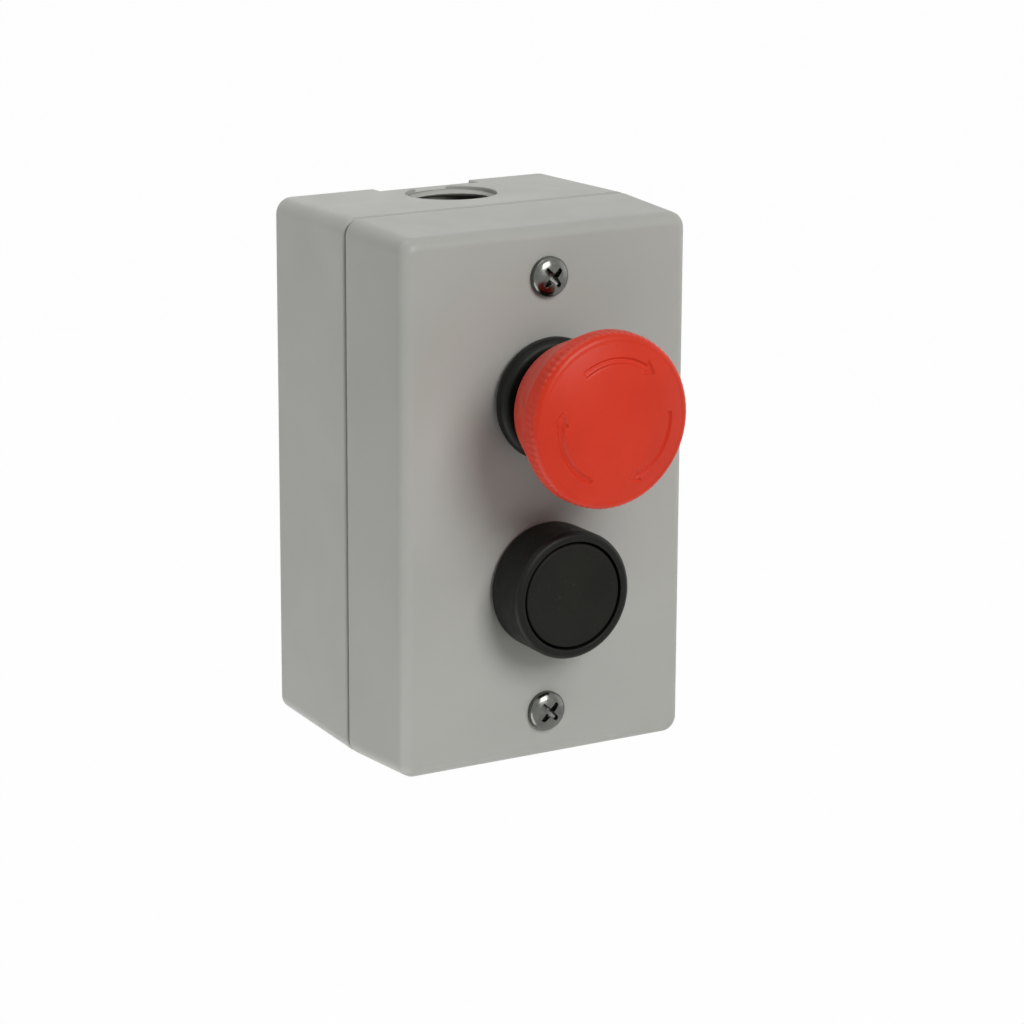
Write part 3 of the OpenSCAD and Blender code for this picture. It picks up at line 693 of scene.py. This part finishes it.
@dataclass
class MushroomHead:
    """The red head of the stop button: skirt, fluted band, dome with three turning arrows, hollow back."""

    radius: float = 20.0
    back_r: float = 15.0
    skirt_h: float = 10.7
    band_h: float = 23.6
    rim_h: float = 26.5
    crown_h: float = 31.2
    crown_r: float = 60.0
    dome_edge: float = 1.9
    lip: float = 0.9
    wall: float = 2.8
    hub_r: float = 8.5
    hub_end: float = 14.1
    coil_r: float = 7.6
    coil_end: float = 18.4
    bore_r: float = 6.1
    bore_end: float = 23.6
    ring_r: float = 6.6
    ring_low: float = 21.4
    ring_high: float = 22.4
    flutes: int = 78
    flute_columns: int = 7
    flute_depth: float = 0.12
    arrow_r: float = 14.0
    arrow_w: float = 1.5
    arrow_depth: float = 0.5
    arrow_tail: float = -34.5
    arrow_tip: float = 46.5
    barb: float = 2.0
    barb_len: float = 3.4

    def profile(self) -> Array:
        """Profile from the crown over the rim, down the skirt and up inside to the roof over the spigot.

        The dome is a circle of the crown's radius, and its edge a quarter of an oval between the
        dome and the band. The rows are fine where the arrows and the flutes are.

        Returns:
            Radius and height in mm.
        """
        dome_r, roof = self.radius - self.dome_edge, self.band_h - 1
        low, high = self.arrow_r - self.barb - 0.5, self.arrow_r + self.barb + 0.5
        r = np.r_[np.linspace(0, low, 9), np.linspace(low, high, 34), np.linspace(high, dome_r, 8)]
        r = np.unique(np.round(r, 6))
        dome = np.stack([r, self.crown_h - self.crown_r + np.sqrt(self.crown_r ** 2 - r ** 2)], axis=-1)
        a = np.linspace(pi / 2, 0, 13)[1:]
        edge_r = dome_r + self.dome_edge * np.cos(a)
        edge_h = self.rim_h + (dome[-1, 1] - self.rim_h) * np.sin(a)
        rest = rounded([
            (self.radius, self.rim_h, 0), (self.radius, self.band_h, 0.8), (self.back_r, self.skirt_h, 0.6),
            (self.back_r - self.lip, self.skirt_h, 0.35), (self.radius - self.wall, roof, 1.0),
            (self.hub_r, roof, 1.0), (self.hub_r, self.hub_end, 0.2), (self.coil_r, self.hub_end, 0.15),
            (self.coil_r, self.coil_end, 0.2), (self.bore_r, self.coil_end, 0.1),
            (self.bore_r, self.ring_low, 0), (self.ring_r, self.ring_low, 0),
            (self.ring_r, self.ring_high, 0), (self.bore_r, self.ring_high, 0),
            (self.bore_r, self.bore_end, 0.2), (0.0, self.bore_end, 0)], False, 5)
        rest = denser(rest, self.radius - 0.5, self.radius + 0.5, 0.3, 0)
        rest = denser(rest, self.skirt_h + 0.5, self.band_h - 1.2, 3.0)
        return np.concatenate([dome, np.stack([edge_r, edge_h], axis=-1), rest[1:]])

    def arrows(self, r: Array, t: Array) -> Array:
        """Depth of the three arrows that run clockwise.

        On each third of a turn, s is the distance along the arrow's arc and n the distance from it.
        The shaft is where n stays under half its width between tail and tip. The point is a chevron,
        between two pairs of lines that meet at the tip and a little behind it. The depth rises to
        full over the width of the groove's walls.

        Args:
            r: Radii in mm.
            t: Turns in radians.

        Returns:
            Depth in mm.
        """
        third = 2 * pi / 3
        turn = t - third * np.round(t / third - 0.04)
        s, n = turn * self.arrow_r, np.abs(r - self.arrow_r)
        tail, tip = (radians(a) * self.arrow_r for a in (self.arrow_tail, self.arrow_tip))
        shaft = np.minimum(self.arrow_w / 2 - n, np.minimum(s - tail, tip - 0.8 - s))
        slope = self.barb / self.barb_len
        lean = 1 / sqrt(1 + slope * slope)
        point = np.minimum((tip - s) * slope - n, n - (tip - 2.1 - s) * slope) * lean
        point = np.minimum(point, s - (tip - self.barb_len))
        return self.arrow_depth * smooth_step(np.maximum(shaft, point), -0.1, 0.4)

    def warp(self, r: Array, h: Array, t: Array) -> tuple[Array, Array]:
        """Cuts the flutes into the band and the arrows into the dome.

        A flute's depth round the band is a raised cosine, and it runs out at both ends.

        Args:
            r: Radii in mm.
            h: Heights in mm.
            t: Turns in radians.

        Returns:
            The new radii and heights.
        """
        run = smooth_step(h, self.band_h + 0.5, self.band_h + 1.4)
        run = run * smooth_step(-h, -self.rim_h - 1.5, -self.rim_h - 0.7)
        flute = 0.5 + 0.5 * np.cos(self.flutes * t)
        outside, top = r > self.radius - self.dome_edge, h > self.rim_h + 1
        return r - outside * run * self.flute_depth * flute, h - top * self.arrows(r, t)

    def build(self) -> None:
        """Builds the head."""
        grid = swept(self.profile(), self.flute_columns * self.flutes, STOP_Z, self.warp)
        skin("stop_head", [grid], False, Body.STOP_KNOB, Slot.RED_PLASTIC)


@dataclass
class ButtonBody:
    """The fixed black body of a button: neck behind the cover and the flange in front of it."""

    name: str
    axis_z: float
    outer_r: float
    front_h: float
    front_edge: float
    foot_edge: float
    well_floor: float
    well_r: float = 0.0
    neck_r: float = 10.9
    neck_end: float = -14.0
    neck_floor: float = 1.6
    bore_r: float = 8.15
    tail_r: float = 4.2
    gasket_t: float = 0.8
    taper: float = 0.15
    columns: int = 160

    def profile(self) -> Array:
        """Closed profile of the body, through bore, face, side, neck and floor.

        Returns:
            Radius and height in mm.
        """
        floor = self.neck_end + self.neck_floor
        mouth = [(self.bore_r, self.well_floor, 0.3)]
        if self.well_floor < self.front_h:
            mouth += [(self.well_r, self.well_floor, 0.2), (self.well_r, self.front_h, 0.3)]
        corners = [(self.bore_r, floor, 0.2), *mouth, (self.outer_r, self.front_h, self.front_edge),
                   (self.outer_r - self.taper, self.gasket_t, self.foot_edge),
                   (self.neck_r, self.gasket_t, 0.1), (self.neck_r, self.neck_end, 0.4),
                   (self.tail_r, self.neck_end, 0.2), (self.tail_r, floor, 0.2)]
        path = rounded(corners, True, 8)
        path = np.concatenate([path, path[:1]])
        return denser(path, self.neck_end + 0.6, -0.4, 0.2)[:-1]

    def build(self) -> None:
        """Builds the body with its threaded neck."""
        thread = Thread(self.neck_r, depth=0.5, pitch=1.5, low=self.neck_end + 0.3, high=-0.6)
        grid = swept(self.profile(), self.columns, self.axis_z, lambda r, h, t: (thread.cut(r, h, t), h))
        skin(self.name, [grid], True, Body.STATION, Slot.BLACK_PLASTIC)


@dataclass
class RubberRing:
    """The rubber ring between a button body and the cover, rounded at its edge."""

    name: str
    axis_z: float
    outer_r: float
    hole_r: float = 11.2
    thick: float = 0.8
    columns: int = 128

    def build(self) -> None:
        """Builds the ring from a rounded box profile."""
        path = rounded([(self.hole_r, 0.0, 0.1), (self.hole_r, self.thick, 0.1),
                        (self.outer_r, self.thick, 0.35), (self.outer_r, 0.0, 0.35)], True, 6)
        grid = swept(path, self.columns, self.axis_z)
        skin(self.name, [grid], True, Body.STATION, Slot.BLACK_RUBBER)


@dataclass
class FlushCap:
    """The black cap of the start button, slightly dished, hollow behind."""

    radius: float = 12.15
    top: float = 12.2
    base: float = 7.0
    rim: float = 1.6
    dish_r: float = 90.0
    chamfer: float = 0.5
    wall: float = 1.4
    depth: float = 2.6
    columns: int = 192

    def profile(self) -> Array:
        """Profile from the middle of the dish over the rim to the hollow behind.

        The dish lies below the rim by the rim's inner radius squared less the radius squared, over
        twice the dish's own radius.

        Returns:
            Radius and height in mm.
        """
        dish = self.radius - self.rim
        r = np.linspace(0, dish, 22)
        face = np.stack([r, self.top - (dish * dish - r * r) / (2 * self.dish_r)], axis=-1)
        roof = self.base + self.depth
        inner_r = self.radius - self.wall
        rest = rounded([(dish, self.top, 0), (self.radius, self.top, self.chamfer),
                        (self.radius, self.base, 0.2), (inner_r, self.base, 0.2), (inner_r, roof, 0.3),
                        (0.0, roof, 0)], False, 8)
        return np.concatenate([face, rest[1:]])

    def build(self) -> None:
        """Builds the cap."""
        grid = swept(self.profile(), self.columns, START_Z)
        skin("start_cap", [grid], False, Body.START_SLIDER, Slot.BLACK_CAP)


@dataclass
class Plunger:
    """The sliding stem of a button: its head end, guided body, shoulder and tail with a clip groove."""

    name: str
    body: Body
    axis_z: float
    crown: list[Corner]
    guide_r: float = 8.05
    shoulder: float = -2.4
    tail_r: float = 4.0
    tail_end: float = -15.5
    groove_r: float = 3.2
    groove_h: float = -14.8
    groove_w: float = 0.8
    columns: int = 96

    def build(self) -> None:
        """Builds the stem from its profile, crown first."""
        groove_top = self.groove_h + self.groove_w
        path = rounded([*self.crown, (self.guide_r, self.shoulder, 0.2), (self.tail_r, self.shoulder, 0.3),
                        (self.tail_r, groove_top, 0), (self.groove_r, groove_top, 0),
                        (self.groove_r, self.groove_h, 0), (self.tail_r, self.groove_h, 0),
                        (self.tail_r, self.tail_end, 0.3), (0.0, self.tail_end, 0)], False, 5)
        grid = swept(path, self.columns, self.axis_z)
        skin(self.name, [grid], False, self.body, Slot.BLACK_NYLON)


@dataclass
class Spring:
    """A wound spring, by its own values a button's return spring.

    It gets a mesh of its own if it names a joint.
    """

    name: str
    body: Body
    axis_z: float
    joint: str = ""
    radius: float = 6.075
    wire: float = 1.0
    low: float = -12.39
    high: float = -2.41
    turns: float = 4.0
    rows_per_turn: int = 28
    columns: int = 10
    closed_turns: float = 1.2

    def coil(self) -> Array:
        """Carries the wire's round section along a helix, with both end turns closed up flat.

        The height along the helix is an ease curve, slow at both ends, so that the end turns lie
        flat. The section's angle runs round the wire, and its two end rings shrink to points.

        Returns:
            Points in mm, as rows by columns by three.
        """
        s = np.linspace(0, 1, int(self.turns * self.rows_per_turn))[:, None]
        ring = np.arange(self.columns)[None, :] * (2 * pi / self.columns)
        thick = np.full_like(s, self.wire / 2)
        thick[[0, -1]] = 0.0
        flat = self.closed_turns / self.turns
        climb = np.clip((s - flat / 2) / (1 - flat), 0, 1)
        ease = 0.35 * smooth_step(climb, 0, 1) + 0.65 * climb
        t = s * self.turns * 2 * pi
        r = self.radius + thick * np.cos(ring)
        h = self.low + self.wire / 2 + (self.high - self.low - self.wire) * ease + thick * np.sin(ring)
        return np.stack([r * np.sin(t), -FACE - h, self.axis_z + r * np.cos(t)], axis=-1)

    def build(self) -> None:
        """Builds the coil, and gives it a mesh of its own if it names a joint."""
        piece = skin(self.name, [self.coil()], False, self.body, Slot.SPRING_STEEL)
        if self.joint:
            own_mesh(piece)


@dataclass
class ConduitThread:
    """The short thread cut into the wall of the conduit hole."""

    centre_x: float = 1.3
    centre_y: float = -15.0
    hole_r: float = 10.8
    depth: float = 0.75
    pitch: float = 1.81
    low: float = 60.36
    high: float = 61.7
    root: float = 0.3
    rows: int = 16
    columns: int = 144

    def build(self) -> None:
        """Builds a thin ring whose inside is a triangle wave that climbs one pitch for each turn.

        A point at radius r, height z and turn t comes to x = r sin t and y = r cos t beside the
        hole's axis. The inside's radius is the hole's less the wave's share of the depth. The outside
        lies in the wall of the box. The ring stands for no node of its own.
        """
        t = np.arange(self.columns)[None, :] * (2 * pi / self.columns)
        z = np.linspace(self.low, self.high, self.rows)[:, None] + 0 * t
        inside = self.hole_r - self.depth * triangle_wave(z / self.pitch - t / (2 * pi))
        outside = np.full_like(z, self.hole_r + self.root)
        r = np.concatenate([inside, outside[::-1]])
        z = np.concatenate([z, z[::-1]])
        shell = Shell()
        shell.add(np.stack([self.centre_x + r * np.sin(t), self.centre_y + r * np.cos(t), z], axis=-1), True)
        place(shell.piece("conduit_thread_form"), Body.STATION, Slot.PAINT)


@dataclass
class Enclosure:
    """Both castings, the gasket between them, the conduit's thread and the screws of the cover."""

    edge: float = 0.35
    segments: int = 3
    outside: tuple[float, float, float, float] = (36.3, 0.1 - FACE, -0.1, 61.0)

    def build(self) -> None:
        """Builds the castings, the thread, the gasket and the screws."""
        ConduitThread().build()
        for casting in ("rear_box", "front_cover"):
            SolidCopy(casting, Body.STATION, Slot.PAINT, self.edge, self.segments, self.outside).build()
        SolidCopy("cover_gasket", Body.STATION, Slot.BLACK_RUBBER, edge=0.0).build()
        CoverScrews().build()


@dataclass
class StopButton:
    """The mushroom-head button with what it moves."""

    spigot_r: float = 6.0
    spigot_end: float = 23.5
    groove_r: float = 5.2
    groove: tuple[float, float] = (21.5, 22.3)
    seat: float = 14.0
    guide_r: float = 8.05

    def build(self) -> None:
        """Builds body, ring, stem, head and springs."""
        ButtonBody("stop_collar", STOP_Z, outer_r=14.4, front_h=5.0, front_edge=2.0, foot_edge=1.2,
                   well_floor=5.0).build()
        RubberRing("stop_panel_gasket", STOP_Z, outer_r=13.2).build()
        low, high = self.groove
        Plunger("stop_stem", Body.STOP_SLIDER, STOP_Z, [
            (0.0, self.spigot_end, 0), (self.spigot_r, self.spigot_end, 0.4), (self.spigot_r, high, 0),
            (self.groove_r, high, 0), (self.groove_r, low, 0), (self.spigot_r, low, 0),
            (self.spigot_r, self.seat, 0.2), (self.guide_r, self.seat, 0.4)]).build()
        MushroomHead().build()
        Spring("stop_spring", Body.STATION, STOP_Z, "stop_press").build()
        Spring("stop_twist_spring", Body.STOP_SLIDER, STOP_Z, radius=7.0, wire=0.8, low=14.01, high=18.39,
               turns=3.5).build()


@dataclass
class StartButton:
    """The flush button with its guard ring and what it moves."""

    crown_r: float = 10.65
    crown_h: float = 9.5
    crown_low: float = 7.0
    guide_r: float = 8.05

    def build(self) -> None:
        """Builds body, ring, stem, cap and spring."""
        ButtonBody("start_guard", START_Z, outer_r=15.0, front_h=12.4, front_edge=1.4, foot_edge=0.5,
                   well_floor=2.6, well_r=12.65).build()
        RubberRing("start_panel_gasket", START_Z, outer_r=14.2).build()
        Plunger("start_stem", Body.START_SLIDER, START_Z, [
            (0.0, self.crown_h, 0), (self.crown_r, self.crown_h, 0.2), (self.crown_r, self.crown_low, 0.1),
            (self.guide_r, self.crown_low, 0.2)]).build()
        FlushCap().build()
        Spring("start_spring", Body.STATION, START_Z, "start_press").build()


@dataclass
class Interior:
    """Everything behind the cover, taken over from the CAD solids with softened edges."""

    fixed: tuple[tuple[str, Slot], ...] = (
        ("locknuts", Slot.BLACK_NYLON), ("holder_screws", Slot.ZINC), ("terminal_screws", Slot.ZINC),
        ("earth_screw", Slot.BRASS_PARTS), ("earth_washer", Slot.ZINC))
    fixed_by_button: tuple[tuple[str, Slot], ...] = (
        ("contact_holder", Slot.BLACK_NYLON), ("contact_housing", Slot.PALE_PLASTIC),
        ("contact_lid", Slot.PALE_PLASTIC), ("terminals", Slot.BRASS_PARTS))

    def build(self) -> None:
        """Builds nuts, holders, contact blocks and the earth terminal."""
        nodes = list(self.fixed)
        for button in ("stop", "start"):
            nodes += [(f"{button}_{name}", slot) for name, slot in self.fixed_by_button]
        for node, slot in nodes:
            SolidCopy(node, Body.STATION, slot).build()
        for button, rod, axis_z in (("stop", Slot.RED_NYLON, STOP_Z), ("start", Slot.GREEN_NYLON, START_Z)):
            contact, slider = Body(f"{button}_contact"), Body(f"{button}_slider")
            Spring(f"{button}_contact_spring", Body.STATION, axis_z, f"{button}_contact_travel",
                   radius=2.1, wire=0.5, low=-43.89, high=-28.61, turns=7.0).build()
            SolidCopy(f"{button}_contact_plunger", contact, rod).build()
            SolidCopy(f"{button}_contact_bridge", contact, Slot.BRASS_PARTS).build()
            SolidCopy(f"{button}_stem_clip", slider, Slot.SPRING_STEEL).build()
        SolidCopy("stop_head_ring", Body.STOP_SLIDER, Slot.SPRING_STEEL).build()


@dataclass(frozen=True)
class Lamp:
    """One soft square lamp: way from the part, distance and side in metres, and power in watts."""

    name: str
    way: tuple[float, float, float]
    away: float
    size: float
    power: float

    def build(self) -> None:
        """Adds the lamp, which faces the part and is hidden from the camera."""
        data = bpy.data.lights.new(self.name, "AREA")
        data.shape = "SQUARE"
        data.size = self.size
        data.energy = self.power
        lamp = bpy.data.objects.new(self.name, data)
        way = Vector(self.way).normalized()
        lamp.location = way * self.away + Vector((0, -0.04, 0))
        lamp.rotation_euler = way.to_track_quat("Z", "Y").to_euler()
        lamp.visible_camera = False
        bpy.context.scene.collection.objects.link(lamp)


LAMPS = (
    Lamp("key", (0.12, -1.0, 0.62), 2.4, 1.1, 38.6),
    Lamp("front", (0.13, -1.0, 0.2), 1.5, 0.55, 1.2),
    Lamp("top", (-0.35, 0.25, 1.0), 0.45, 0.3, 0.68),
    Lamp("side", (-0.28, -0.03, -0.29), 0.37, 0.35, 0.78),
    Lamp("glint", (-0.93, 0.11, 0.14), 1.2, 0.12, 0.7),
    Lamp("right", (1.0, -0.2, 0.1), 2.0, 1.6, 5.0),
    Lamp("back", (0.0, 1.0, 0.0), 2.0, 1.6, 7.0),
)


@dataclass
class Studio:
    """Plain soft light, a pale floor far below the part, and the photograph's camera."""

    azimuth: float = 30.329
    elevation: float = 14.923
    roll: float = 0.259
    distance: float = 867.343
    lens: float = 129.848
    sensor: float = 36.0
    clip: tuple[float, float] = (0.05, 50.0)
    target_x: float = 5.603
    target_y: float = -35.0
    target_z: float = -9.870
    floor_z: float = -420.0
    floor_size: float = 9000.0
    floor_tone: float = 0.82
    floor_glow: float = 0.985
    ambient: float = 0.1

    def camera(self) -> None:
        """Makes the camera from its direction, distance and target.

        It looks along the azimuth and down by the elevation, turned by the roll about its own line of
        sight, and stands back from the target by the distance.
        """
        a, e, roll = radians(self.azimuth), radians(self.elevation), radians(self.roll)
        ahead = Vector((sin(a) * cos(e), cos(a) * cos(e), -sin(e)))
        side = Vector((cos(a), -sin(a), 0.0))
        up = side.cross(ahead)
        right = side * cos(roll) + up * sin(roll)
        above = up * cos(roll) - side * sin(roll)
        target = side * self.target_x + Vector((0.0, self.target_y, self.target_z))
        spot = (target - ahead * self.distance) * MM
        data = bpy.data.cameras.new("camera")
        data.lens = self.lens
        data.sensor_width = self.sensor
        data.clip_start, data.clip_end = self.clip
        camera = bpy.data.objects.new("camera", data)
        turn = Matrix((right, above, -ahead)).transposed().to_4x4()
        camera.matrix_world = Matrix.Translation(spot) @ turn
        bpy.context.scene.collection.objects.link(camera)
        bpy.context.scene.camera = camera

    def seen_directly(self, tree: Tree) -> Socket:
        """Adds a socket that is 1 for camera, glossy and transmission rays and 0 for the rest.

        Args:
            tree: Node tree to add it to.

        Returns:
            The socket.
        """
        rays = add_node(tree, "LightPath").outputs
        value = rays["Is Camera Ray"]
        for name in ("Is Glossy Ray", "Is Transmission Ray"):
            value = add_node(tree, "Math", {0: value, 1: rays[name]}, operation="MAXIMUM").outputs[0]
        return value

    def surroundings(self) -> None:
        """Makes the world: even soft light, and plain white where it is seen."""
        world = bpy.data.worlds.new("studio")
        bpy.context.scene.world = world
        tree = empty_tree(world)
        soft = add_node(tree, "Background", {"Color": WHITE, "Strength": self.ambient})
        plain = add_node(tree, "Background", {"Color": WHITE})
        mix = add_node(tree, "MixShader", {"Fac": self.seen_directly(tree), 1: soft.outputs[0],
                                           2: plain.outputs[0]})
        add_node(tree, "OutputWorld", {"Surface": mix.outputs[0]})

    def floor(self) -> None:
        """Lays the pale floor, which is near white where it is seen and still takes a shadow."""
        half, z = self.floor_size / 2 * MM, self.floor_z * MM
        mesh = bpy.data.meshes.new("floor")
        mesh.from_pydata([(-half, -half, z), (half, -half, z), (half, half, z), (-half, half, z)], [],
                         [(0, 1, 2, 3)])
        floor = bpy.data.objects.new("floor", mesh)
        bpy.context.scene.collection.objects.link(floor)
        made = bpy.data.materials.new("floor")
        tree = empty_tree(made)
        tone = (self.floor_tone, self.floor_tone, self.floor_tone, 1.0)
        matt = add_node(tree, "BsdfDiffuse", {"Color": tone})
        glow = add_node(tree, "Emission")
        factors = {0: self.seen_directly(tree), 1: self.floor_glow}
        share = add_node(tree, "Math", factors, operation="MULTIPLY").outputs[0]
        mix = add_node(tree, "MixShader", {"Fac": share, 1: matt.outputs[0], 2: glow.outputs[0]})
        add_node(tree, "OutputMaterial", {"Surface": mix.outputs[0]})
        mesh.materials.append(made)

    def build(self) -> None:
        """Sets the view and makes camera, world, floor and lamps."""
        bpy.context.scene.view_settings.view_transform = "Standard"
        self.camera()
        self.surroundings()
        self.floor()
        for lamp in LAMPS:
            lamp.build()


def main() -> None:
    """Builds every assembly in order."""
    logging.basicConfig(level=logging.INFO, format="%(name)s: %(message)s")
    wardrobe.stock(FINISHES)
    for assembly in (Enclosure(), StopButton(), StartButton(), Interior(), Studio()):
        assembly.build()
        log.info("%s is built", type(assembly).__name__)


if __name__ == "__main__":
    main()
